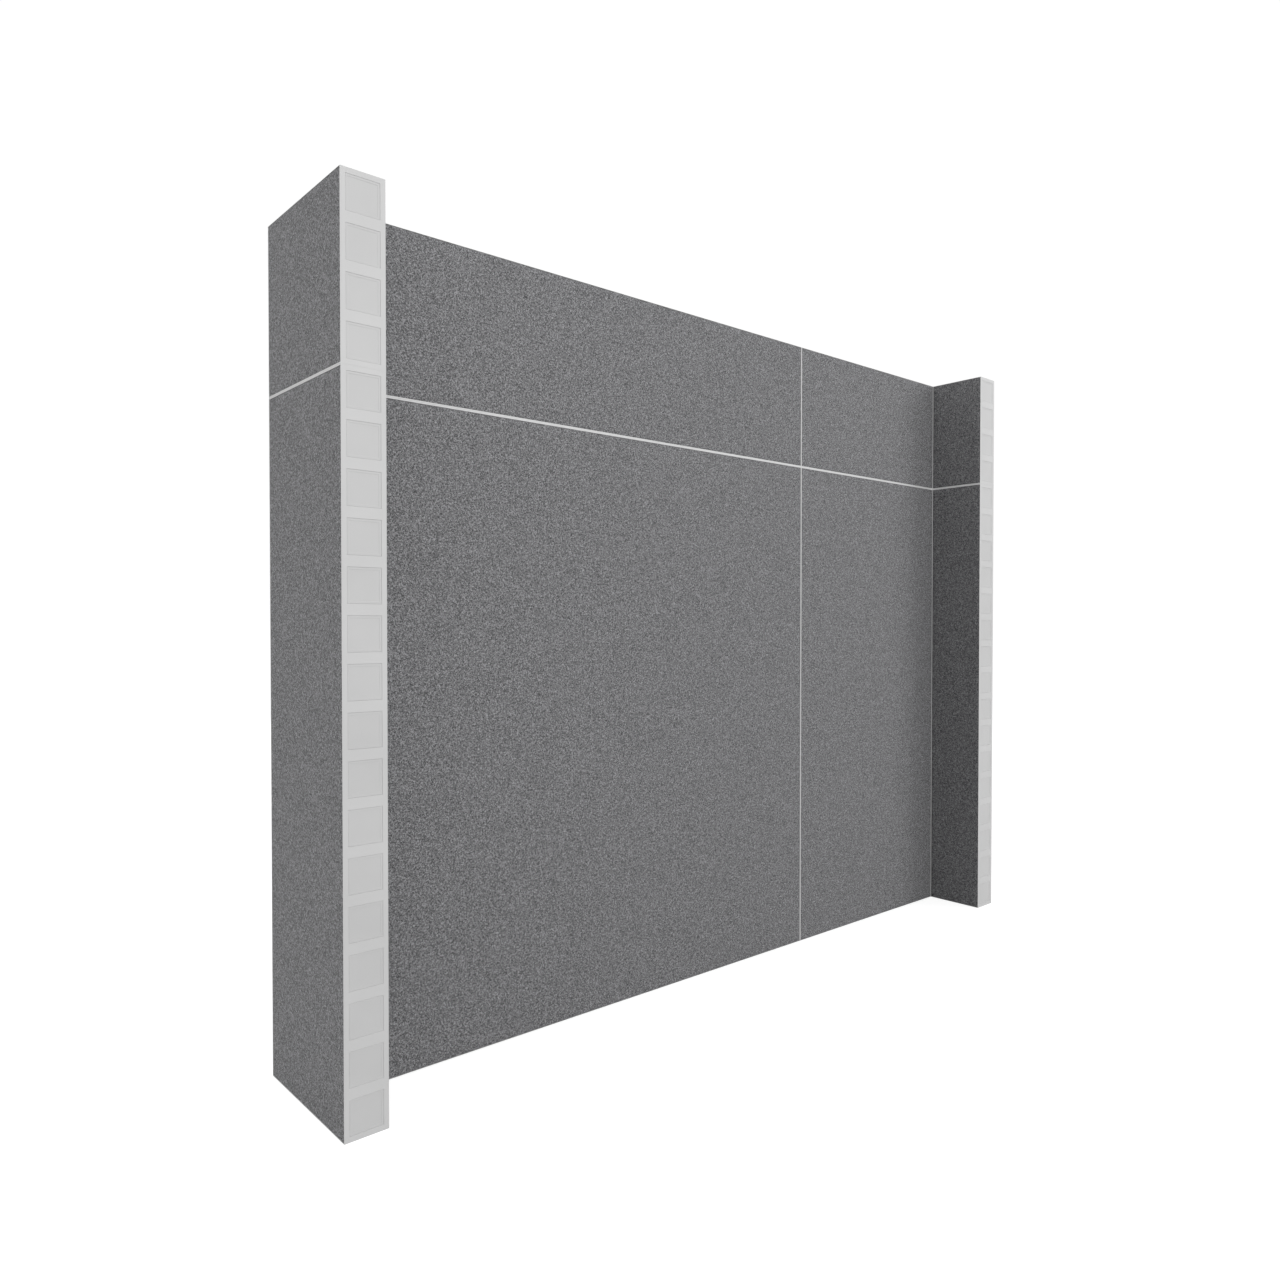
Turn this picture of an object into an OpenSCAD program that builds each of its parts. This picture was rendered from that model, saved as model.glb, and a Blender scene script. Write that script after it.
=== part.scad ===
/* [Grid] */
// Side of one grid cell, which is also the thickness of every panel
cell = 76.2; // [60:0.1:100]
// Cells across the wide panels of the back wall
wide_cells = 16; // [4:1:24]
// Cells across the narrow panels of the back wall
narrow_cells = 8; // [4:1:24]
// Cells up the lower row of panels
lower_cells = 16; // [4:1:24]
// Cells up the upper row of panels
upper_cells = 4; // [3:1:24]
// Cells of a wing that stand in front of the back wall
front_cells = 2; // [1:1:8]
// Cells of a wing that stand behind the back wall
rear_cells = 1; // [1:1:8]

/* [Frame bars] */
// Depth of a bar, from the edge of its panel inward
bar_depth = 24; // [19:0.5:36]
// Width of a lip beside the felt, along an edge that meets no panel in line with it
edge_lip = 0.8; // [0.8:0.1:3]
// Width of a lip along the joint between the two rows
row_lip = 2.6; // [0.8:0.1:4]
// Width of a lip along the upright joint in the back wall
seam_lip = 1.7; // [0.8:0.1:4]
// Chamfer along the outer corners of a bar
bar_chamfer = 0.4; // [0.1:0.1:0.6]
// Walls and ribs round the pockets on a bar's inner side
bar_wall = 3.5; // [2.8:0.1:5]
// Plastic between the floor of a socket and the pocket behind it
socket_floor = 2.4; // [1.5:0.1:4]

/* [Sockets] */
// Depth of a square socket
socket_depth = 7.5; // [6:0.1:10]
// Plastic between a socket and the joint strip beside it
land_wall = 1.25; // [1:0.05:4]
// Depth of a snap groove into the wall of its socket
groove_depth = 0.6; // [0.4:0.05:0.8]
// Height of a snap groove
groove_h = 1.6; // [1.2:0.1:2.2]
// Length of a snap groove
groove_l = 20; // [10:0.5:30]
// Plastic between a snap groove and the floor of its socket
groove_inset = 1.5; // [1:0.1:2]

/* [Plugs and caps] */
// Gap on each side between a plug or cap and its socket
plug_fit = 0.2; // [0.1:0.05:0.4]
// Gap between the end of a plug and the floor of its socket
end_gap = 0.3; // [0.1:0.05:0.8]
// Gap on each side between a snap ridge and its groove
ridge_fit = 0.2; // [0.1:0.05:0.3]
// Wall of a plug
plug_wall = 2.4; // [1.5:0.1:4]
// Web across the middle of a plug
plug_web = 2; // [1:0.1:4]
// How far a cap lies below the face round its socket
cap_recess = 0.3; // [0.1:0.1:1.2]
// Thickness of a cap's plate at its border
cap_t = 2.4; // [1.6:0.1:3]
// Width of the border round a cap's sunk field
cap_border = 5.5; // [3:0.1:12]
// Depth of a cap's sunk field
cap_field = 0.3; // [0.2:0.1:1.2]
// Wall of the skirt under a cap
skirt_wall = 2; // [1.2:0.1:3]

/* [Felt boards and cores] */
// Thickness of a felt board
felt_t = 6; // [4:0.1:9]
// How far a felt board lies below its frame's lip
felt_recess = 0.5; // [0:0.1:1.5]
// Gap between the edge of a felt board and what frames it
felt_gap = 0.3; // [0.2:0.05:1]
// Thickness of a rib in the egg-crate core
core_rib = 2; // [1:0.1:4]
// Thickness that a joint strip has past the depth of a socket
strip_spare = 0.5; // [0.3:0.1:2]

/* [Corner brackets] */
// Thickness of a bracket's legs
bracket_t = 3; // [2:0.1:5]
// Width of a bracket
bracket_w = 36; // [16:0.5:40]
// Length of each leg
bracket_leg = 42; // [26:0.5:44]

/* [Hidden] */
white = [0.8, 0.8, 0.81];
felt_grey = [0.46, 0.46, 0.47];
kraft = [0.72, 0.6, 0.44];
inner_grey = [0.35, 0.36, 0.38];

// Past-the-face length of every cut
over = 1;
// Depth at which a felt board's back, and so the core's face, lies
rebate = felt_recess + felt_t;
strip_t = max(socket_depth + strip_spare, rebate);
// Border between a panel's edge and its sockets, half of what lies between two sockets
land = strip_t + land_wall;
socket_w = cell - 2 * land;
pocket_floor = socket_depth + socket_floor;
groove_z = socket_depth - groove_inset - groove_h / 2;
plug_w = socket_w - 2 * plug_fit;
plug_reach = socket_depth - end_gap;
ridge_w = plug_w + 2 * (plug_fit + groove_depth - ridge_fit);
ridge_h = groove_h - 2 * ridge_fit;
ridge_l = groove_l - 2 * ridge_fit;
// A gusset's slope passes clear of the core's corner
gusset_leg = 2 * (bar_depth - pocket_floor) - bracket_t;

back_cells = wide_cells + narrow_cells;
rows = lower_cells + upper_cells;
wing_cells = front_cells + 1 + rear_cells;
half_w = (back_cells + 2) * cell / 2;
depth = wing_cells * cell;
wall_left = cell - half_w;
wall_front = front_cells * cell - depth / 2;
seam_x = wall_left + wide_cells * cell;
seam_z = lower_cells * cell;

// A panel's lips: at its left edge, right edge, bottom edge and top edge
wide_lower_lips = [edge_lip, seam_lip, edge_lip, row_lip];
narrow_lower_lips = [seam_lip, edge_lip, edge_lip, row_lip];
wide_upper_lips = [edge_lip, seam_lip, row_lip, edge_lip];
narrow_upper_lips = [seam_lip, edge_lip, row_lip, edge_lip];
wing_lower_lips = [edge_lip, edge_lip, edge_lip, row_lip];
wing_upper_lips = [edge_lip, edge_lip, row_lip, edge_lip];

// A panel stands with its lower left front corner at the origin and its front face on Y 0.
// A bar, socket, plug or cap is drawn on the panel's bottom edge, with Z as the way inward.

// Carries what is drawn on a panel's bottom edge to its left edge
module left_edge() {
    mirror([1, 0, -1])
        children();
}

// The same for the right edge of a panel that is so many cells wide
module right_edge(cols) {
    translate([cols * cell, 0, 0])
        mirror([1, 0, 0])
            left_edge()
                children();
}

// The same for the top edge of a panel that is so many cells high
module top_edge(high) {
    translate([0, 0, high * cell])
        mirror([0, 0, 1])
            children();
}

// Repeats its child at each socket along an edge
module each_socket(count) {
    for (i = [0:count - 1])
        translate([(i + 0.5) * cell, cell / 2, 0])
            children();
}

// Repeats its child in the four corners of a panel
module each_corner(cols, high) {
    for (right = [0, 1], top = [0, 1])
        translate([right * cols * cell, 0, top * high * cell])
            mirror([right, 0, 0])
                mirror([0, 0, top])
                    children();
}

// A box that is centred across X and Y and spans from z0 to z1
module slab(x, y, z0, z1) {
    translate([-x / 2, -y / 2, z0])
        cube([x, y, z1 - z0]);
}

// The cut of a square socket with a snap groove in two of its walls
module socket_cut(reach) {
    slab(socket_w, socket_w, -over, reach);
    slab(socket_w + 2 * groove_depth, groove_l, groove_z - groove_h / 2, groove_z + groove_h / 2);
}

// Section of a bar: a flat outer face, a lip at each side and a rebate behind each lip
module bar_section(lip) {
    polygon([
        [bar_chamfer, 0],
        [cell - bar_chamfer, 0],
        [cell, bar_chamfer],
        [cell, lip],
        [cell - rebate, lip],
        [cell - rebate, bar_depth],
        [rebate, bar_depth],
        [rebate, lip],
        [0, lip],
        [0, bar_chamfer]
    ]);
}

// A wedge from y0 to y1, on the far side of the line from a panel's corner through a point
module wedge(y0, y1, point) {
    translate([0, y1, 0])
        rotate([90, 0, 0])
            linear_extrude(y1 - y0)
                polygon([-point, 2 * point, [-point[0], 2 * point[1]]]);
}

// What is cut off the start of a bar, so that it is mitred with the bar that it meets there
module mitre_cut(lip, next_lip) {
    wedge(rebate, cell - rebate, [bar_depth, bar_depth]);
    wedge(-over, rebate, [next_lip, lip]);
    wedge(cell - rebate, cell + over, [next_lip, lip]);
}

// The pockets on a bar's inner side, open to the mitre at both ends
module bar_pockets(count) {
    for (i = [0:count - 1]) {
        start = i == 0 ? 0 : i * cell + bar_wall / 2;
        end = i == count - 1 ? count * cell : (i + 1) * cell - bar_wall / 2;
        translate([start, rebate + bar_wall, pocket_floor])
            cube([end - start, cell - 2 * (rebate + bar_wall), bar_depth]);
    }
}

// One moulded frame bar with mitred ends, a row of sockets outside and pockets inside. The two
// neighbours' lips come in the order start, end.
module bar(count, lip, next_lips) {
    length = count * cell;
    difference() {
        rotate([90, 0, 90])
            linear_extrude(length)
                bar_section(lip);
        mitre_cut(lip, next_lips[0]);
        translate([length, 0, 0])
            mirror([1, 0, 0])
                mitre_cut(lip, next_lips[1]);
        each_socket(count)
            socket_cut(socket_depth);
        bar_pockets(count);
    }
}

module stiles(cols, high, lips) {
    left_edge()
        bar(high, lips[0], [lips[2], lips[3]]);
    right_edge(cols)
        bar(high, lips[1], [lips[2], lips[3]]);
}

module rails(cols, high, lips) {
    bar(cols, lips[2], [lips[0], lips[1]]);
    top_edge(high)
        bar(cols, lips[3], [lips[0], lips[1]]);
}

// A felt board from one distance along the panel to another, framed by lips above and below
module felt_between(x0, x1, high, lips) {
    z0 = lips[2] + felt_gap;
    z1 = high * cell - lips[3] - felt_gap;
    translate([x0, felt_recess, z0])
        cube([x1 - x0, felt_t, z1 - z0]);
}

module front_felt(cols, high, lips) {
    felt_between(lips[0] + felt_gap, cols * cell - lips[1] - felt_gap, high, lips);
}

module rear_felt(cols, high, lips) {
    translate([0, cell, 0])
        mirror([0, 1, 0])
            front_felt(cols, high, lips);
}

// Start and end of a core's hollow between two neighbouring ribs
function hollow_start(i) = i == 0 ? bar_depth + core_rib : i * cell + core_rib / 2;
function hollow_end(i, count) =
    i == count - 1 ? count * cell - bar_depth - core_rib : (i + 1) * cell - core_rib / 2;

// The egg-crate core, which fills a panel between its bars and its felt boards
module core(cols, high) {
    translate([0, cell - rebate, 0])
        rotate([90, 0, 0])
            linear_extrude(cell - 2 * rebate)
                difference() {
                    translate([bar_depth, bar_depth])
                        square([cols * cell - 2 * bar_depth, high * cell - 2 * bar_depth]);
                    for (i = [0:cols - 1], j = [0:high - 1])
                        translate([hollow_start(i), hollow_start(j)])
                            square([
                                hollow_end(i, cols) - hollow_start(i),
                                hollow_end(j, high) - hollow_start(j)
                            ]);
                }
}

// The block that a wing's joint strip fills, down to the back of the strip
module strip_block(gap, high, lips) {
    z0 = lips[2] + gap;
    z1 = high * cell - lips[3] - gap;
    translate([front_cells * cell + gap, 0, z0])
        cube([cell - 2 * gap, strip_t, z1 - z0]);
}

// The ladder that takes the end of the back wall, let into a wing's inner face
module joint_strip(high, lips) {
    difference() {
        strip_block(felt_gap, high, lips);
        for (j = [0:high - 1])
            translate([(front_cells + 0.5) * cell, 0, (j + 0.5) * cell])
                rotate([-90, 90, 0])
                    socket_cut(strip_t + over);
    }
}

module wing_rails(high, lips) {
    difference() {
        rails(wing_cells, high, lips);
        strip_block(0, high, lips);
    }
}

module wing_core(high, lips) {
    difference() {
        core(wing_cells, high);
        strip_block(0, high, lips);
    }
}

// A wing's inner felt: one board in front of the joint strip and one behind it
module wing_inner_felt(high, lips) {
    felt_between(lips[0] + felt_gap, front_cells * cell - felt_gap, high, lips);
    felt_between(
        (front_cells + 1) * cell + felt_gap,
        wing_cells * cell - lips[1] - felt_gap,
        high, lips
    );
}

// The two snap ridges of a plug or cap, as one bar across it
module snap_ridges(z) {
    slab(ridge_w, ridge_l, z - ridge_h / 2, z + ridge_h / 2);
}

// A double-ended square plug, half on each side of the joint between two panels
module plug() {
    hollow_w = plug_w - 2 * plug_wall;
    difference() {
        union() {
            slab(plug_w, plug_w, -plug_reach, plug_reach);
            for (side = [-1, 1])
                snap_ridges(side * groove_z);
        }
        slab(hollow_w, hollow_w, plug_web / 2, plug_reach + over);
        slab(hollow_w, hollow_w, -plug_reach - over, -plug_web / 2);
    }
}

// A square cap with a sunk field, which closes an open socket
module cap() {
    field_w = plug_w - 2 * cap_border;
    hollow_w = plug_w - 2 * skirt_wall;
    difference() {
        union() {
            slab(plug_w, plug_w, cap_recess, plug_reach);
            snap_ridges(groove_z);
        }
        slab(field_w, field_w, cap_recess - over, cap_recess + cap_field);
        slab(hollow_w, hollow_w, cap_recess + cap_t, plug_reach + over);
    }
}

// An angle with a gusset, which ties two bars together on their pocket floors
module corner_bracket() {
    translate([pocket_floor, cell / 2, pocket_floor])
        rotate([90, 0, 0]) {
            translate([0, 0, -bracket_w / 2])
                linear_extrude(bracket_w)
                    polygon([
                        [0, 0],
                        [bracket_leg, 0],
                        [bracket_leg, bracket_t],
                        [bracket_t, bracket_t],
                        [bracket_t, bracket_leg],
                        [0, bracket_leg]
                    ]);
            translate([0, 0, -bracket_t / 2])
                linear_extrude(bracket_t)
                    polygon([[0, 0], [gusset_leg, 0], [0, gusset_leg]]);
        }
}

module panel_brackets(cols, high) {
    each_corner(cols, high)
        corner_bracket();
}

// Where each panel of the back wall stands, and where the wings stand
module in_wide_lower() { translate([wall_left, wall_front, 0]) children(); }
module in_narrow_lower() { translate([seam_x, wall_front, 0]) children(); }
module in_upper_row() { translate([0, 0, seam_z]) children(); }
module in_wide_upper() { in_upper_row() in_wide_lower() children(); }
module in_narrow_upper() { in_upper_row() in_narrow_lower() children(); }
module in_left_wing() { translate([wall_left, -depth / 2, 0]) rotate([0, 0, 90]) children(); }
module in_right_wing() { mirror([1, 0, 0]) in_left_wing() children(); }

module wide_lower_stiles() {
    color(white) in_wide_lower() stiles(wide_cells, lower_cells, wide_lower_lips);
}
module wide_lower_rails() {
    color(white) in_wide_lower() rails(wide_cells, lower_cells, wide_lower_lips);
}
module wide_lower_front_felt() {
    color(felt_grey) in_wide_lower() front_felt(wide_cells, lower_cells, wide_lower_lips);
}
module wide_lower_rear_felt() {
    color(felt_grey) in_wide_lower() rear_felt(wide_cells, lower_cells, wide_lower_lips);
}
module wide_lower_core() { color(kraft) in_wide_lower() core(wide_cells, lower_cells); }

module narrow_lower_stiles() {
    color(white) in_narrow_lower() stiles(narrow_cells, lower_cells, narrow_lower_lips);
}
module narrow_lower_rails() {
    color(white) in_narrow_lower() rails(narrow_cells, lower_cells, narrow_lower_lips);
}
module narrow_lower_front_felt() {
    color(felt_grey) in_narrow_lower() front_felt(narrow_cells, lower_cells, narrow_lower_lips);
}
module narrow_lower_rear_felt() {
    color(felt_grey) in_narrow_lower() rear_felt(narrow_cells, lower_cells, narrow_lower_lips);
}
module narrow_lower_core() { color(kraft) in_narrow_lower() core(narrow_cells, lower_cells); }

module wide_upper_stiles() {
    color(white) in_wide_upper() stiles(wide_cells, upper_cells, wide_upper_lips);
}
module wide_upper_rails() {
    color(white) in_wide_upper() rails(wide_cells, upper_cells, wide_upper_lips);
}
module wide_upper_front_felt() {
    color(felt_grey) in_wide_upper() front_felt(wide_cells, upper_cells, wide_upper_lips);
}
module wide_upper_rear_felt() {
    color(felt_grey) in_wide_upper() rear_felt(wide_cells, upper_cells, wide_upper_lips);
}
module wide_upper_core() { color(kraft) in_wide_upper() core(wide_cells, upper_cells); }

module narrow_upper_stiles() {
    color(white) in_narrow_upper() stiles(narrow_cells, upper_cells, narrow_upper_lips);
}
module narrow_upper_rails() {
    color(white) in_narrow_upper() rails(narrow_cells, upper_cells, narrow_upper_lips);
}
module narrow_upper_front_felt() {
    color(felt_grey) in_narrow_upper() front_felt(narrow_cells, upper_cells, narrow_upper_lips);
}
module narrow_upper_rear_felt() {
    color(felt_grey) in_narrow_upper() rear_felt(narrow_cells, upper_cells, narrow_upper_lips);
}
module narrow_upper_core() { color(kraft) in_narrow_upper() core(narrow_cells, upper_cells); }

module left_wing_lower_stiles() {
    color(white) in_left_wing() stiles(wing_cells, lower_cells, wing_lower_lips);
}
module left_wing_lower_rails() { color(white) in_left_wing() wing_rails(lower_cells, wing_lower_lips); }
module left_wing_lower_outer_felt() {
    color(felt_grey) in_left_wing() rear_felt(wing_cells, lower_cells, wing_lower_lips);
}
module left_wing_lower_inner_felt() {
    color(felt_grey) in_left_wing() wing_inner_felt(lower_cells, wing_lower_lips);
}
module left_wing_lower_joint_strip() {
    color(white) in_left_wing() joint_strip(lower_cells, wing_lower_lips);
}
module left_wing_lower_core() { color(kraft) in_left_wing() wing_core(lower_cells, wing_lower_lips); }

module left_wing_upper_stiles() {
    color(white) in_left_wing() in_upper_row() stiles(wing_cells, upper_cells, wing_upper_lips);
}
module left_wing_upper_rails() {
    color(white) in_left_wing() in_upper_row() wing_rails(upper_cells, wing_upper_lips);
}
module left_wing_upper_outer_felt() {
    color(felt_grey) in_left_wing() in_upper_row() rear_felt(wing_cells, upper_cells, wing_upper_lips);
}
module left_wing_upper_inner_felt() {
    color(felt_grey) in_left_wing() in_upper_row() wing_inner_felt(upper_cells, wing_upper_lips);
}
module left_wing_upper_joint_strip() {
    color(white) in_left_wing() in_upper_row() joint_strip(upper_cells, wing_upper_lips);
}
module left_wing_upper_core() {
    color(kraft) in_left_wing() in_upper_row() wing_core(upper_cells, wing_upper_lips);
}

module right_wing_lower_stiles() {
    color(white) in_right_wing() stiles(wing_cells, lower_cells, wing_lower_lips);
}
module right_wing_lower_rails() {
    color(white) in_right_wing() wing_rails(lower_cells, wing_lower_lips);
}
module right_wing_lower_outer_felt() {
    color(felt_grey) in_right_wing() rear_felt(wing_cells, lower_cells, wing_lower_lips);
}
module right_wing_lower_inner_felt() {
    color(felt_grey) in_right_wing() wing_inner_felt(lower_cells, wing_lower_lips);
}
module right_wing_lower_joint_strip() {
    color(white) in_right_wing() joint_strip(lower_cells, wing_lower_lips);
}
module right_wing_lower_core() { color(kraft) in_right_wing() wing_core(lower_cells, wing_lower_lips); }

module right_wing_upper_stiles() {
    color(white) in_right_wing() in_upper_row() stiles(wing_cells, upper_cells, wing_upper_lips);
}
module right_wing_upper_rails() {
    color(white) in_right_wing() in_upper_row() wing_rails(upper_cells, wing_upper_lips);
}
module right_wing_upper_outer_felt() {
    color(felt_grey) in_right_wing() in_upper_row() rear_felt(wing_cells, upper_cells, wing_upper_lips);
}
module right_wing_upper_inner_felt() {
    color(felt_grey) in_right_wing() in_upper_row() wing_inner_felt(upper_cells, wing_upper_lips);
}
module right_wing_upper_joint_strip() {
    color(white) in_right_wing() in_upper_row() joint_strip(upper_cells, wing_upper_lips);
}
module right_wing_upper_core() {
    color(kraft) in_right_wing() in_upper_row() wing_core(upper_cells, wing_upper_lips);
}

module back_wall_seam_connectors() {
    color(inner_grey) in_wide_lower() right_edge(wide_cells) each_socket(rows) plug();
}
module back_wall_row_connectors() { color(inner_grey) in_wide_upper() each_socket(back_cells) plug(); }
module left_wing_row_connectors() {
    color(inner_grey) in_left_wing() in_upper_row() each_socket(wing_cells) plug();
}
module right_wing_row_connectors() {
    color(inner_grey) in_right_wing() in_upper_row() each_socket(wing_cells) plug();
}
module left_wing_joint_connectors() {
    color(inner_grey) in_wide_lower() left_edge() each_socket(rows) plug();
}
module right_wing_joint_connectors() {
    color(inner_grey) in_wide_lower() right_edge(back_cells) each_socket(rows) plug();
}

module left_wing_front_caps() { color(white) in_left_wing() left_edge() each_socket(rows) cap(); }
module right_wing_front_caps() { color(white) in_right_wing() left_edge() each_socket(rows) cap(); }
module left_wing_rear_caps() {
    color(white) in_left_wing() right_edge(wing_cells) each_socket(rows) cap();
}
module right_wing_rear_caps() {
    color(white) in_right_wing() right_edge(wing_cells) each_socket(rows) cap();
}
module wing_top_and_base_caps() {
    each_socket(wing_cells) cap();
    top_edge(rows) each_socket(wing_cells) cap();
}
module left_wing_top_and_base_caps() { color(white) in_left_wing() wing_top_and_base_caps(); }
module right_wing_top_and_base_caps() { color(white) in_right_wing() wing_top_and_base_caps(); }
module back_wall_top_caps() {
    color(white) in_wide_lower() top_edge(rows) each_socket(back_cells) cap();
}
module back_wall_base_caps() { color(white) in_wide_lower() each_socket(back_cells) cap(); }

module corner_brackets() {
    color(inner_grey) {
        in_wide_lower() panel_brackets(wide_cells, lower_cells);
        in_narrow_lower() panel_brackets(narrow_cells, lower_cells);
        in_wide_upper() panel_brackets(wide_cells, upper_cells);
        in_narrow_upper() panel_brackets(narrow_cells, upper_cells);
        in_left_wing() panel_brackets(wing_cells, lower_cells);
        in_left_wing() in_upper_row() panel_brackets(wing_cells, upper_cells);
        in_right_wing() panel_brackets(wing_cells, lower_cells);
        in_right_wing() in_upper_row() panel_brackets(wing_cells, upper_cells);
    }
}

wide_lower_stiles();
wide_lower_rails();
wide_lower_front_felt();
wide_lower_rear_felt();
wide_lower_core();
narrow_lower_stiles();
narrow_lower_rails();
narrow_lower_front_felt();
narrow_lower_rear_felt();
narrow_lower_core();
wide_upper_stiles();
wide_upper_rails();
wide_upper_front_felt();
wide_upper_rear_felt();
wide_upper_core();
narrow_upper_stiles();
narrow_upper_rails();
narrow_upper_front_felt();
narrow_upper_rear_felt();
narrow_upper_core();
left_wing_lower_stiles();
left_wing_lower_rails();
left_wing_lower_outer_felt();
left_wing_lower_inner_felt();
left_wing_lower_joint_strip();
left_wing_lower_core();
left_wing_upper_stiles();
left_wing_upper_rails();
left_wing_upper_outer_felt();
left_wing_upper_inner_felt();
left_wing_upper_joint_strip();
left_wing_upper_core();
right_wing_lower_stiles();
right_wing_lower_rails();
right_wing_lower_outer_felt();
right_wing_lower_inner_felt();
right_wing_lower_joint_strip();
right_wing_lower_core();
right_wing_upper_stiles();
right_wing_upper_rails();
right_wing_upper_outer_felt();
right_wing_upper_inner_felt();
right_wing_upper_joint_strip();
right_wing_upper_core();
back_wall_seam_connectors();
back_wall_row_connectors();
left_wing_row_connectors();
right_wing_row_connectors();
left_wing_joint_connectors();
right_wing_joint_connectors();
left_wing_front_caps();
right_wing_front_caps();
left_wing_rear_caps();
right_wing_rear_caps();
left_wing_top_and_base_caps();
right_wing_top_and_base_caps();
back_wall_top_caps();
back_wall_base_caps();
corner_brackets();
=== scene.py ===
import math

import bmesh
import bpy
from mathutils import Matrix, Vector, noise


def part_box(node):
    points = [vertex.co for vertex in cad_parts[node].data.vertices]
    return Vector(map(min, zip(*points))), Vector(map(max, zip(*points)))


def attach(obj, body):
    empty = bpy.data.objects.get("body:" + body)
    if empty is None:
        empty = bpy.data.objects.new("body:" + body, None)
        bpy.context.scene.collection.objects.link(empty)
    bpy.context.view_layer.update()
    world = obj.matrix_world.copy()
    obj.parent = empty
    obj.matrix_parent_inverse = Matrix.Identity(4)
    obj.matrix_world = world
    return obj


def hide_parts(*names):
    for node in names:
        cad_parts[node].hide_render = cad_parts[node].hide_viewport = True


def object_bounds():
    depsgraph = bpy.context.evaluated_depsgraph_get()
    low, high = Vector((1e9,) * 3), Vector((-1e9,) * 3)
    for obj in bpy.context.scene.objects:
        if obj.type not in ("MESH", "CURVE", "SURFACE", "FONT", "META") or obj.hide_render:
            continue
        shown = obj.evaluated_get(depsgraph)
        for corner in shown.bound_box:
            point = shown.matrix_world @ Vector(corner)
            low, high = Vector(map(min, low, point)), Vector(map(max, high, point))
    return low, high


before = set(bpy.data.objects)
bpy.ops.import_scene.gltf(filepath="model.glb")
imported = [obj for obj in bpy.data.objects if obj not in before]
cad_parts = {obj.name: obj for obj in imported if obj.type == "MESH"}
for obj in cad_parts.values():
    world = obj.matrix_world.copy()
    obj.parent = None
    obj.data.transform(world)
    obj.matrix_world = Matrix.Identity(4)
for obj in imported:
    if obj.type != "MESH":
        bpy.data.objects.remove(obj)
cad_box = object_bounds()

# Panel frames. Each panel is framed by four moulded bars of pale plastic, mitred at the corners:
# two stiles and two rails. They are moulded in one shot, so every outer edge is a little round, and
# the face has the fine grain of a spark-eroded mould.
PANELS = [
    "wide_lower", "narrow_lower", "wide_upper", "narrow_upper",
    "left_wing_lower", "left_wing_upper", "right_wing_lower", "right_wing_upper",
]
bar_edge_round = 0.0002
bar_chamfer = 0.0006
bar_flat_angle = math.radians(1)
bar_edge_angle = math.radians(30)
same_point = 1e-6
frame_grey = (0.608, 0.608, 0.608)
# Painted light: the rails' grey is paler than the stiles' so the horizontal seams look brighter
rail_painted_light_grey = (0.675, 0.675, 0.675)
frame_roughness = 0.5
plastic_ior = 1.49
drift_per_metre, drift_darkest, drift_palest = 7, 0.965, 1.02
polish_per_metre, polish_spread = 55, 0.07
grain_per_metre, grain_strength, grain_height = 1300, 0.25, 0.00006


def moulded_plastic(name, colour, roughness):
    """Moulded plastic: a faint drift in tone, patches of polish, and a fine grain."""
    material = bpy.data.materials.new(name)
    material.use_nodes = True
    nodes, links = material.node_tree.nodes, material.node_tree.links
    shader = nodes["Principled BSDF"]
    shader.inputs["IOR"].default_value = plastic_ior
    place = nodes.new("ShaderNodeTexCoord").outputs["Object"]

    drift = nodes.new("ShaderNodeTexNoise")
    drift.inputs["Scale"].default_value = drift_per_metre
    drift.inputs["Detail"].default_value = 4
    links.new(place, drift.inputs["Vector"])
    tone = nodes.new("ShaderNodeValToRGB")
    tone.color_ramp.elements[0].position = 0.3
    tone.color_ramp.elements[0].color = [c * drift_darkest for c in colour] + [1]
    tone.color_ramp.elements[1].position = 0.7
    tone.color_ramp.elements[1].color = [c * drift_palest for c in colour] + [1]
    links.new(drift.outputs["Fac"], tone.inputs["Fac"])
    links.new(tone.outputs["Color"], shader.inputs["Base Color"])

    polish = nodes.new("ShaderNodeTexNoise")
    polish.inputs["Scale"].default_value = polish_per_metre
    polish.inputs["Detail"].default_value = 3
    links.new(place, polish.inputs["Vector"])
    sheen = nodes.new("ShaderNodeMapRange")
    sheen.inputs["To Min"].default_value = roughness - polish_spread
    sheen.inputs["To Max"].default_value = roughness + polish_spread
    links.new(polish.outputs["Fac"], sheen.inputs["Value"])
    links.new(sheen.outputs["Result"], shader.inputs["Roughness"])

    grain = nodes.new("ShaderNodeTexNoise")
    grain.inputs["Scale"].default_value = grain_per_metre
    grain.inputs["Detail"].default_value = 2
    links.new(place, grain.inputs["Vector"])
    relief = nodes.new("ShaderNodeBump")
    relief.inputs["Strength"].default_value = grain_strength
    relief.inputs["Distance"].default_value = grain_height
    links.new(grain.outputs["Fac"], relief.inputs["Height"])
    links.new(relief.outputs["Normal"], shader.inputs["Normal"])
    return material


def finished(piece, material, node):
    """Gives a new piece its material, puts it in the scene in place of the CAD node it stands for, and
    hangs it from the root.
    """
    piece.data.materials.clear()
    piece.data.materials.append(material)
    bpy.context.scene.collection.objects.link(piece)
    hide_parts(node)
    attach(piece, "root")


def on_the_outside(point, low, high):
    """Is a point on the surface of the box from low to high, or in the chamfer of its edges?"""
    return any(min(point[i] - low[i], high[i] - point[i]) < bar_chamfer for i in range(3))


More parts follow.
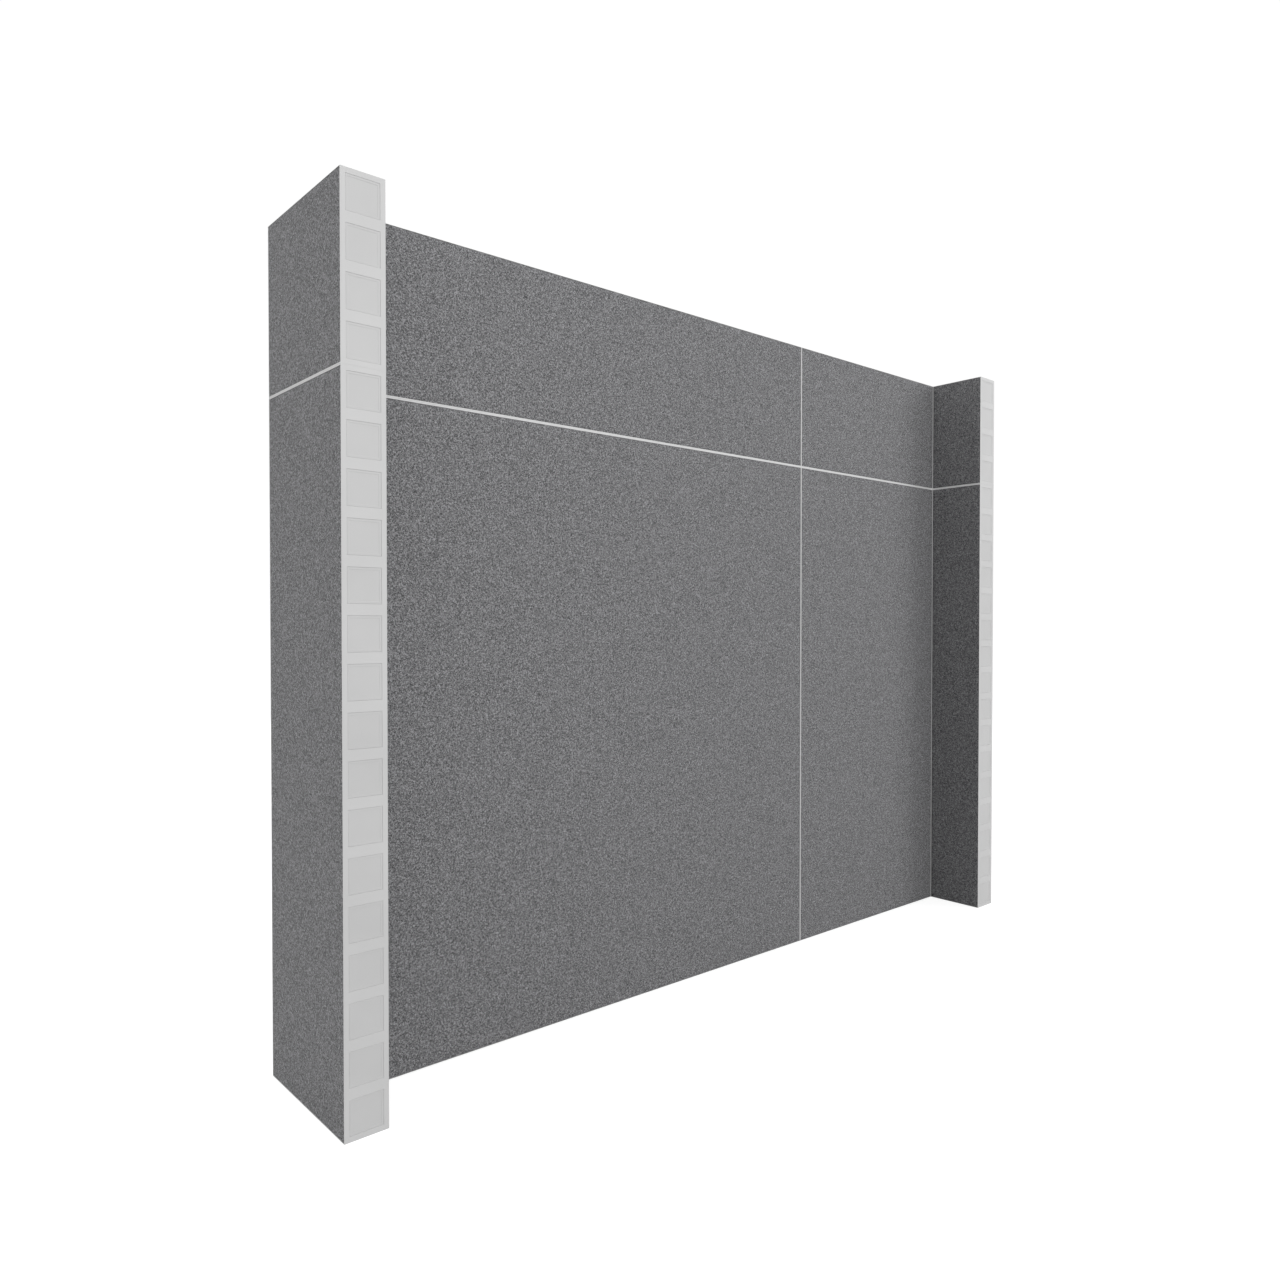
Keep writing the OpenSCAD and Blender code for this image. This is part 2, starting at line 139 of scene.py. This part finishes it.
def moulded_bars(node, panel_box):
    """The bars of a node with the edges that show rounded."""
    bars = bmesh.new()
    bars.from_mesh(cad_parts[node].data)
    bmesh.ops.remove_doubles(bars, verts=bars.verts, dist=same_point)
    bmesh.ops.dissolve_limit(bars, angle_limit=bar_flat_angle, verts=bars.verts, edges=bars.edges)
    showing = [
        e for e in bars.edges
        if e.is_manifold and e.calc_face_angle() > bar_edge_angle
        and on_the_outside((e.verts[0].co + e.verts[1].co) / 2, *panel_box)
    ]
    bmesh.ops.bevel(bars, geom=showing, offset=bar_edge_round, offset_type="OFFSET", affect="EDGES",
                    segments=2, profile=0.5, material=-1, clamp_overlap=True)
    mesh = bpy.data.meshes.new(node + "_bars")
    bars.to_mesh(mesh)
    bars.free()
    return bpy.data.objects.new(node + "_bars", mesh)


# The rails are a shade paler than the stiles, as painted light that makes the horizontal seams look
# lit from above
frame_plastic = moulded_plastic("frame_plastic", frame_grey, frame_roughness)
rail_painted_light_plastic = moulded_plastic("rail_painted_light_plastic", rail_painted_light_grey, frame_roughness)
for panel in PANELS:
    panel_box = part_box(panel + "_stiles")
    for node, plastic in ((panel + "_stiles", frame_plastic), (panel + "_rails", rail_painted_light_plastic)):
        finished(moulded_bars(node, panel_box), plastic, node)

# Felt boards. Each face of a panel is a board of pressed felt, bonded into the frame just below its
# lips. Dark, mid and light fibres are laid at random and needled together, so the face is mottled,
# a little uneven, and soft along its cut edges. The felt inside the wings is painted darker, as
# painted shade on inner faces that the light reaches less.
felt_edge_round = 0.001
felt_round_steps = 3
felt_grid = 0.012
felt_unevenness = 0.00022
felt_wave = 0.055
felt_flat_rim = 0.03
felt_sharp_angle = math.radians(40)
strip_gap = 0.0006
felt_dark = (0.045, 0.045, 0.0465)
felt_mid = (0.16, 0.16, 0.1655)
felt_light = (0.42, 0.42, 0.432)
# Painted shade: the felt inside the wings has all its greys darkened by this factor
inner_felt_painted_shade = 0.76
# The grey under the fibres, and how far flecks, clouds and fibres move it, all on a scale of 0 to 1
felt_ground = 0.465
flecks_per_metre, fleck_swing = 335, 1.85
clouds_per_metre, cloud_swing = 24, 0.06
light_fibre_lift, dark_fibre_drop = 0.55, 0.45
# The angles the fibres are laid at, in radians, and how many strands there are to a metre along
# their lay, out through the face, and across. A strand is the part of its noise past strand_shows
light_lays = (0.3, 1.35, 2.4)
dark_lays = (0.85, 1.9, 2.95)
strands_per_metre = (235, 590, 1650)
strand_shows, strand_full = 0.57, 0.68
fuzz_per_metre, fuzz_strength, fuzz_height = 450, 0.5, 0.0002


def heathered_felt(name, turn, shade=1.0):
    """Pressed felt that lies in the XZ plane once it is turned by so much about Z.

    A shade below 1 makes all three of its greys darker, as painted shade.
    """
    material = bpy.data.materials.new(name)
    material.use_nodes = True
    nodes, links = material.node_tree.nodes, material.node_tree.links
    shader = nodes["Principled BSDF"]
    shader.inputs["Roughness"].default_value = 0.95
    shader.inputs["Specular IOR Level"].default_value = 0.2
    shader.inputs["Sheen Weight"].default_value = 0.12
    shader.inputs["Sheen Roughness"].default_value = 0.5
    place = nodes.new("ShaderNodeMapping")
    place.inputs["Rotation"].default_value = (0, 0, turn)
    links.new(nodes.new("ShaderNodeTexCoord").outputs["Object"], place.inputs["Vector"])

    def mottle(scale, detail, roughness):
        spots = nodes.new("ShaderNodeTexNoise")
        spots.inputs["Scale"].default_value = scale
        spots.inputs["Detail"].default_value = detail
        spots.inputs["Roughness"].default_value = roughness
        links.new(place.outputs["Vector"], spots.inputs["Vector"])
        return spots.outputs["Fac"]

    def combine(operation, a, b):
        maths = nodes.new("ShaderNodeMath")
        maths.operation = operation
        for socket, value in zip(maths.inputs, (a, b)):
            if isinstance(value, (int, float)):
                socket.default_value = value
            else:
                links.new(value, socket)
        return maths.outputs["Value"]

    def swing(spots, by):
        """How far a mottle is from its middle, times so much."""
        return combine("MULTIPLY", combine("SUBTRACT", spots, 0.5), by)

    def strands(angle):
        """Strands under a millimetre wide and a few long, laid at an angle in the face."""
        lay = nodes.new("ShaderNodeMapping")
        lay.inputs["Rotation"].default_value = (0, angle, 0)
        links.new(place.outputs["Vector"], lay.inputs["Vector"])
        stretch = nodes.new("ShaderNodeMapping")
        stretch.inputs["Scale"].default_value = strands_per_metre
        links.new(lay.outputs["Vector"], stretch.inputs["Vector"])
        streaks = nodes.new("ShaderNodeTexNoise")
        streaks.inputs["Scale"].default_value = 1
        streaks.inputs["Detail"].default_value = 1
        streaks.inputs["Distortion"].default_value = 0.8
        links.new(stretch.outputs["Vector"], streaks.inputs["Vector"])
        cut = nodes.new("ShaderNodeMapRange")
        cut.inputs["From Min"].default_value = strand_shows
        cut.inputs["From Max"].default_value = strand_full
        links.new(streaks.outputs["Fac"], cut.inputs["Value"])
        return cut.outputs["Result"]

    def fibres(lays):
        """Strands of one colour, laid over each other at several angles."""
        laid = strands(lays[0])
        for angle in lays[1:]:
            laid = combine("MAXIMUM", laid, strands(angle))
        return laid

    light = fibres(light_lays)
    dark = fibres(dark_lays)
    flecks = mottle(flecks_per_metre, detail=2, roughness=0.6)
    clouds = mottle(clouds_per_metre, detail=3, roughness=0.5)
    level = combine("ADD", swing(flecks, fleck_swing), felt_ground)
    level = combine("ADD", level, swing(clouds, cloud_swing))
    level = combine("ADD", level, combine("MULTIPLY", light, light_fibre_lift))
    level = combine("SUBTRACT", level, combine("MULTIPLY", dark, dark_fibre_drop))
    tone = nodes.new("ShaderNodeValToRGB")
    tone.color_ramp.elements[0].color = [c * shade for c in felt_dark] + [1]
    tone.color_ramp.elements[1].color = [c * shade for c in felt_light] + [1]
    tone.color_ramp.elements.new(0.5).color = [c * shade for c in felt_mid] + [1]
    links.new(level, tone.inputs["Fac"])
    links.new(tone.outputs["Color"], shader.inputs["Base Color"])

    fuzz = mottle(fuzz_per_metre, detail=2, roughness=0.5)
    height = combine("ADD", combine("SUBTRACT", light, dark), fuzz)
    relief = nodes.new("ShaderNodeBump")
    relief.inputs["Strength"].default_value = fuzz_strength
    relief.inputs["Distance"].default_value = fuzz_height
    links.new(height, relief.inputs["Height"])
    links.new(relief.outputs["Normal"], shader.inputs["Normal"])
    return material


def felt_board(board, low, high, facing):
    """Adds a felt board that fills the box from low to high, with its soft face towards facing."""
    size, centre = high - low, (low + high) / 2
    turn = math.atan2(facing.x, -facing.y)
    along_y = abs(facing.x) > 0.5
    width, thick, tall = (size.y, size.x, size.z) if along_y else (size.x, size.y, size.z)
    face_w, face_h = width - 2 * felt_edge_round, tall - 2 * felt_edge_round
    before = set(board.verts)
    made = bmesh.ops.create_grid(
        board, x_segments=math.ceil(face_w / felt_grid), y_segments=math.ceil(face_h / felt_grid),
        size=0.5, matrix=Matrix.Rotation(math.pi / 2, 4, "X"))
    face = made["verts"]
    bmesh.ops.scale(board, vec=(face_w, 1, face_h), verts=face)
    bmesh.ops.translate(board, vec=(0, -thick / 2, 0), verts=face)
    # The unevenness fades out towards the rim, where the board is held
    for v in face:
        if not v.is_boundary:
            rim = min(face_w / 2 - abs(v.co.x), face_h / 2 - abs(v.co.z))
            fade = min(1, rim / felt_flat_rim)
            spot = Vector((v.co.x + centre.x, v.co.z + centre.z, centre.y)) / felt_wave
            v.co.y += felt_unevenness * fade * (0.5 + 0.5 * noise.noise(spot))
    # A quarter round all the way round the face, then the cut edge, then the flat back
    ring = [e for e in board.edges if e.is_boundary]
    step = math.pi / 2 / felt_round_steps
    wide, high_now, deep = face_w, face_h, 0
    for i in range(1, felt_round_steps + 2):
        angle = min(i * step, math.pi / 2)
        new_w = face_w + 2 * felt_edge_round * math.sin(angle)
        new_h = face_h + 2 * felt_edge_round * math.sin(angle)
        new_deep = thick if i > felt_round_steps else felt_edge_round * (1 - math.cos(angle))
        grown = bmesh.ops.extrude_edge_only(board, edges=ring)["geom"]
        ring = [g for g in grown if isinstance(g, bmesh.types.BMEdge) and g.is_boundary]
        moved = [g for g in grown if isinstance(g, bmesh.types.BMVert)]
        bmesh.ops.scale(board, vec=(new_w / wide, 1, new_h / high_now), verts=moved)
        bmesh.ops.translate(board, vec=(0, new_deep - deep, 0), verts=moved)
        wide, high_now, deep = new_w, new_h, new_deep
    bmesh.ops.contextual_create(board, geom=ring)
    verts = [v for v in board.verts if v not in before]
    into_place = Matrix.Translation(centre) @ Matrix.Rotation(turn, 4, "Z")
    bmesh.ops.transform(board, matrix=into_place, verts=verts)


def felt_piece(node, spans, facing, material):
    """The piece for one felt node, with a board for each (low, high) span."""
    board = bmesh.new()
    for low, high in spans:
        felt_board(board, low, high, facing)
    bmesh.ops.recalc_face_normals(board, faces=board.faces)
    for f in board.faces:
        f.smooth = len(f.verts) == 4
    mesh = bpy.data.meshes.new(node + "_board")
    board.to_mesh(mesh)
    board.free()
    mesh.set_sharp_from_angle(angle=felt_sharp_angle)
    finished(bpy.data.objects.new(node + "_board", mesh), material, node)


wall_felt = heathered_felt("wall_felt", 0)
wing_felt = heathered_felt("wing_felt", math.pi / 2)
# The inner felt is a darker copy of the wing felt: painted shade on the wings' inner faces
wing_inner_felt = heathered_felt("wing_inner_felt", math.pi / 2, inner_felt_painted_shade)
front, rear = Vector((0, -1, 0)), Vector((0, 1, 0))
left, right = Vector((-1, 0, 0)), Vector((1, 0, 0))
for panel in PANELS[:4]:
    for node, facing in ((panel + "_front_felt", front), (panel + "_rear_felt", rear)):
        felt_piece(node, [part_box(node)], facing, wall_felt)
for panel in PANELS[4:]:
    outward, inward = (left, right) if panel.startswith("left") else (right, left)
    node = panel + "_outer_felt"
    felt_piece(node, [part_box(node)], outward, wing_felt)
    # The inner felt is cut in two round the joint strip
    node = panel + "_inner_felt"
    low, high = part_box(node)
    strip_low, strip_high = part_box(panel + "_joint_strip")
    ahead = (low, Vector((high.x, strip_low.y - strip_gap, high.z)))
    behind = (Vector((low.x, strip_high.y + strip_gap, low.z)), high)
    felt_piece(node, [ahead, behind], inward, wing_inner_felt)

# Caps. A square cap of the same plastic snaps into every socket that joins no panel. Its grey is a
# shade darker, partly its own tone and partly painted shade for its sunk place in the socket.
# It has a raised border round a sunk field, a skirt that reaches down into the socket, and a snap
# ridge on two sides.
wall_low, wall_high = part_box("wide_lower_stiles")
cell = wall_high.y - wall_low.y
cap_recess = 0.0003
cap_thick = 0.0024
cap_border = 0.0055
cap_field = 0.0003
cap_skirt = 0.002
cap_round = 0.00015
ridge_depth, ridge_tall, ridge_long, ridge_proud = 0.0052, 0.0012, 0.0196, 0.0006
# The caps' grey is partly painted shade: darker than the bars for sitting sunk in their sockets
cap_grey_and_painted_shade = (0.573, 0.573, 0.573)
cap_roughness = 0.46
up, down = Vector((0, 0, 1)), Vector((0, 0, -1))


def raised(shape, face, by):
    """Extrudes one face of a shape and moves it by so much."""
    moved = bmesh.ops.extrude_discrete_faces(shape, faces=[face])["faces"][0]
    bmesh.ops.translate(shape, vec=by, verts=moved.verts)


def cap_mesh(width, reach):
    """One cap that faces +Z from just under Z 0.

    Its skirt ends at -reach, and it has a ridge towards +X and one towards -X.
    """
    cap = bmesh.new()
    tall = reach - cap_recess
    bmesh.ops.create_cube(cap, size=1)
    bmesh.ops.scale(cap, vec=(width, width, tall), verts=cap.verts)
    bmesh.ops.translate(cap, vec=(0, 0, -cap_recess - tall / 2), verts=cap.verts)
    cap.normal_update()
    top = next(f for f in cap.faces if f.normal.z > 0.5)
    under = next(f for f in cap.faces if f.normal.z < -0.5)
    sides = [f for f in cap.faces if abs(f.normal.x) > 0.5]
    bmesh.ops.inset_individual(cap, faces=[under], thickness=cap_skirt)
    raised(cap, under, (0, 0, tall - cap_thick))
    bmesh.ops.inset_individual(cap, faces=[top], thickness=cap_border)
    raised(cap, top, (0, 0, -cap_field))
    # Four cuts across a side leave the ridge's outline in the middle, and that part is raised
    for side in sides:
        towards = side.normal.x
        side_x = towards * width / 2
        parts = [side]
        for cut, across in (
            (-ridge_depth - ridge_tall / 2, Vector((0, 0, 1))),
            (-ridge_depth + ridge_tall / 2, Vector((0, 0, 1))),
            (-ridge_long / 2, Vector((0, 1, 0))),
            (ridge_long / 2, Vector((0, 1, 0))),
        ):
            edges = [e for e in cap.edges if any(f in parts for f in e.link_faces)]
            corners = [v for v in cap.verts if any(f in parts for f in v.link_faces)]
            bmesh.ops.bisect_plane(
                cap, geom=parts + edges + corners, plane_co=across * cut, plane_no=across)
            parts = [f for f in cap.faces if abs(f.calc_center_median().x - side_x) < same_point]
        ridge_centre = Vector((side_x, 0, -ridge_depth))
        ridge = min(parts, key=lambda f: (f.calc_center_median() - ridge_centre).length)
        raised(cap, ridge, (towards * ridge_proud, 0, 0))
    showing = [
        e for e in cap.edges
        if e.calc_face_angle() > 1 and all(v.co.z > -cap_recess - same_point for v in e.verts)
    ]
    bmesh.ops.bevel(cap, geom=showing, offset=cap_round, offset_type="OFFSET", affect="EDGES",
                    segments=2, profile=0.5, material=-1)
    mesh = bpy.data.meshes.new("cap")
    cap.to_mesh(mesh)
    cap.free()
    return mesh


def cap_row(caps, cap, box, outward, along):
    """Adds a cap at each cell along one edge, facing outward."""
    low, high = box
    count = math.ceil(abs((high - low).dot(along)) / cell)
    edge_middle = (low + high) / 2
    for i in range(3):
        if outward[i] > 0:
            edge_middle[i] = high[i]
        elif outward[i] < 0:
            edge_middle[i] = low[i]
    across = outward.cross(along)
    turn = Matrix((along, across, outward)).transposed().to_4x4()
    for i in range(count):
        place = edge_middle + outward * cap_recess + along * cell * (i - (count - 1) / 2)
        old = set(caps.verts)
        caps.from_mesh(cap)
        new = [v for v in caps.verts if v not in old]
        bmesh.ops.transform(caps, matrix=Matrix.Translation(place) @ turn, verts=new)


front_low, front_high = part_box("left_wing_front_caps")
cap = cap_mesh(front_high.x - front_low.x, front_high.y - front_low.y + cap_recess)
cap_plastic = moulded_plastic("cap_plastic", cap_grey_and_painted_shade, cap_roughness)
CAP_ROWS = {
    "left_wing_front_caps": [(front, up)], "right_wing_front_caps": [(front, up)],
    "left_wing_rear_caps": [(rear, up)], "right_wing_rear_caps": [(rear, up)],
    "left_wing_top_and_base_caps": [(up, rear), (down, rear)],
    "right_wing_top_and_base_caps": [(up, rear), (down, rear)],
    "back_wall_top_caps": [(up, right)], "back_wall_base_caps": [(down, right)],
}
for node, rows in CAP_ROWS.items():
    caps = bmesh.new()
    for outward, along in rows:
        cap_row(caps, cap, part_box(node), outward, along)
    bmesh.ops.recalc_face_normals(caps, faces=caps.faces)
    mesh = bpy.data.meshes.new(node + "_moulded")
    caps.to_mesh(mesh)
    caps.free()
    finished(bpy.data.objects.new(node + "_moulded", mesh), cap_plastic, node)

# Joint strips. The ladder let into a wing's inner face is moulded like the bars, in the stiles'
# plastic, and screwed down under the end of the back wall, whose plugs go through its windows.


def refinish(node, material):
    """Gives a material to a CAD piece that keeps its own shape."""
    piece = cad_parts[node]
    piece.data.materials.clear()
    piece.data.materials.append(material)


for panel in PANELS[4:]:
    refinish(panel + "_joint_strip", frame_plastic)

# Plugs and corner brackets. These work out of sight: double-ended square plugs in the joints, and
# angles in the corners of the frames, both moulded in dark grey plastic with glass fibre in it.
inner_grey = (0.1, 0.101, 0.108)
inner_roughness = 0.55
inner_plastic = moulded_plastic("inner_plastic", inner_grey, inner_roughness)
INNER = [
    "back_wall_seam_connectors", "back_wall_row_connectors", "left_wing_row_connectors",
    "right_wing_row_connectors", "left_wing_joint_connectors", "right_wing_joint_connectors",
    "corner_brackets",
]
for node in INNER:
    refinish(node, inner_plastic)

# Cores. Ribs of kraft board stand on edge between the felts, slotted into each other like an egg
# crate and glued. The board is brown, with darker and paler flecks of pulp.
kraft_dark = (0.33, 0.225, 0.125)
kraft_pale = (0.5, 0.37, 0.225)
pulp_per_metre = 420


def kraft_board(name):
    """Matt brown board with flecks of pulp."""
    material = bpy.data.materials.new(name)
    material.use_nodes = True
    nodes, links = material.node_tree.nodes, material.node_tree.links
    shader = nodes["Principled BSDF"]
    shader.inputs["Roughness"].default_value = 0.9
    place = nodes.new("ShaderNodeTexCoord").outputs["Object"]
    pulp = nodes.new("ShaderNodeTexNoise")
    pulp.inputs["Scale"].default_value = pulp_per_metre
    pulp.inputs["Detail"].default_value = 5
    links.new(place, pulp.inputs["Vector"])
    tone = nodes.new("ShaderNodeValToRGB")
    tone.color_ramp.elements[0].position = 0.35
    tone.color_ramp.elements[0].color = kraft_dark + (1,)
    tone.color_ramp.elements[1].position = 0.65
    tone.color_ramp.elements[1].color = kraft_pale + (1,)
    links.new(pulp.outputs["Fac"], tone.inputs["Fac"])
    links.new(tone.outputs["Color"], shader.inputs["Base Color"])
    return material


core_board = kraft_board("core_board")
for panel in PANELS:
    refinish(panel + "_core", core_board)

# Floor. It is plain and matt, runs white past every edge of the view, and keeps only the soft
# shadow at the foot.
floor_white = 0.42
floor_fill = 0.78
floor_reach = 60


def seen_white(name, colour, strength):
    """A matt white surface that is lifted to white where it is seen straight, or in gloss or glass."""
    material = bpy.data.materials.new(name)
    material.use_nodes = True
    nodes, links = material.node_tree.nodes, material.node_tree.links
    nodes.remove(nodes["Principled BSDF"])
    rays = nodes.new("ShaderNodeLightPath")
    seen = rays.outputs["Is Camera Ray"]
    for kind in ("Is Glossy Ray", "Is Transmission Ray"):
        either = nodes.new("ShaderNodeMath")
        either.operation = "MAXIMUM"
        links.new(seen, either.inputs[0])
        links.new(rays.outputs[kind], either.inputs[1])
        seen = either.outputs["Value"]
    lift = nodes.new("ShaderNodeMath")
    lift.operation = "MULTIPLY"
    lift.inputs[1].default_value = strength
    links.new(seen, lift.inputs[0])
    glow = nodes.new("ShaderNodeEmission")
    links.new(lift.outputs["Value"], glow.inputs["Strength"])
    matt = nodes.new("ShaderNodeBsdfDiffuse")
    matt.inputs["Color"].default_value = (colour, colour, colour, 1)
    both = nodes.new("ShaderNodeAddShader")
    links.new(glow.outputs["Emission"], both.inputs[0])
    links.new(matt.outputs["BSDF"], both.inputs[1])
    links.new(both.outputs["Shader"], nodes["Material Output"].inputs["Surface"])
    return material


ground = bmesh.new()
bmesh.ops.create_grid(ground, x_segments=1, y_segments=1, size=floor_reach)
floor_mesh = bpy.data.meshes.new("floor")
ground.to_mesh(floor_mesh)
ground.free()
floor_mesh.materials.append(seen_white("floor_white", floor_white, floor_fill))
floor = bpy.data.objects.new("floor", floor_mesh)
bpy.context.scene.collection.objects.link(floor)

# Light. An even sky and four wide soft lamps: one above the front and to its left, one in front at
# the right, one at the left for the outside of the left wing, and one behind for the back.
sky_ambient, sky_white = 0.6, 1.02
sky = bpy.data.worlds.new("sky")
bpy.context.scene.world = sky
sky.use_nodes = True
sky_nodes, sky_links = sky.node_tree.nodes, sky.node_tree.links
sky_rays = sky_nodes.new("ShaderNodeLightPath")
sky_seen = sky_nodes.new("ShaderNodeMapRange")
sky_seen.inputs["To Min"].default_value = sky_ambient
sky_seen.inputs["To Max"].default_value = sky_white
sky_any = sky_nodes.new("ShaderNodeMath")
sky_any.operation = "MAXIMUM"
sky_links.new(sky_rays.outputs["Is Camera Ray"], sky_any.inputs[0])
sky_links.new(sky_rays.outputs["Is Transmission Ray"], sky_any.inputs[1])
sky_links.new(sky_any.outputs["Value"], sky_seen.inputs["Value"])
sky_links.new(sky_seen.outputs["Result"], sky_nodes["Background"].inputs["Strength"])
sky_nodes["Background"].inputs["Color"].default_value = (1, 1, 1, 1)


def soft_lamp(name, place, aim, size, power):
    """A square area lamp at a place, turned to shine on the point aimed at."""
    data = bpy.data.lights.new(name, "AREA")
    data.shape = "SQUARE"
    data.size = size
    data.energy = power
    lamp = bpy.data.objects.new(name, data)
    lamp.location = place
    lamp.rotation_euler = (Vector(aim) - Vector(place)).to_track_quat("-Z", "Y").to_euler()
    bpy.context.scene.collection.objects.link(lamp)


low, high = cad_box
middle = (low + high) / 2
soft_lamp(
    "front_lamp", place=(middle.x - 1.8, low.y - 5.0, high.z + 2.4), aim=middle, size=3.0, power=158)
soft_lamp(
    "right_lamp", place=(high.x + 4.0, low.y - 4.8, high.z + 1.5), aim=middle, size=3.0, power=116)
soft_lamp(
    "left_lamp", place=(low.x - 5.5, high.y + 0.4, high.z + 0.5), aim=middle, size=2.0, power=66)
soft_lamp(
    "rear_lamp", place=(middle.x + 1.6, high.y + 5.0, high.z + 2.0), aim=middle, size=3.0, power=165)

# Camera. It stands a little above half height, to the left of the left wing, and looks along the
# wall at just under 50 degrees to it.
# Its place is in wall heights from the box's left front corner at the foot, its angles in degrees
camera_left, camera_ahead, camera_up = 0.40907, 0.9314, 0.53378
camera_dip, camera_turn = 0.876, -41.089
wall_height = high.z - low.z
lens_data = bpy.data.cameras.new("camera")
lens_data.sensor_width = 36
lens_data.lens = 26.8
lens_data.clip_start = 0.05
lens_data.clip_end = 200
camera = bpy.data.objects.new("camera", lens_data)
camera.location = (
    low.x - camera_left * wall_height,
    low.y - camera_ahead * wall_height,
    low.z + camera_up * wall_height,
)
camera.rotation_euler = (math.radians(90 - camera_dip), 0, math.radians(camera_turn))
bpy.context.scene.collection.objects.link(camera)
bpy.context.scene.camera = camera

bpy.context.scene.view_settings.view_transform = "Standard"
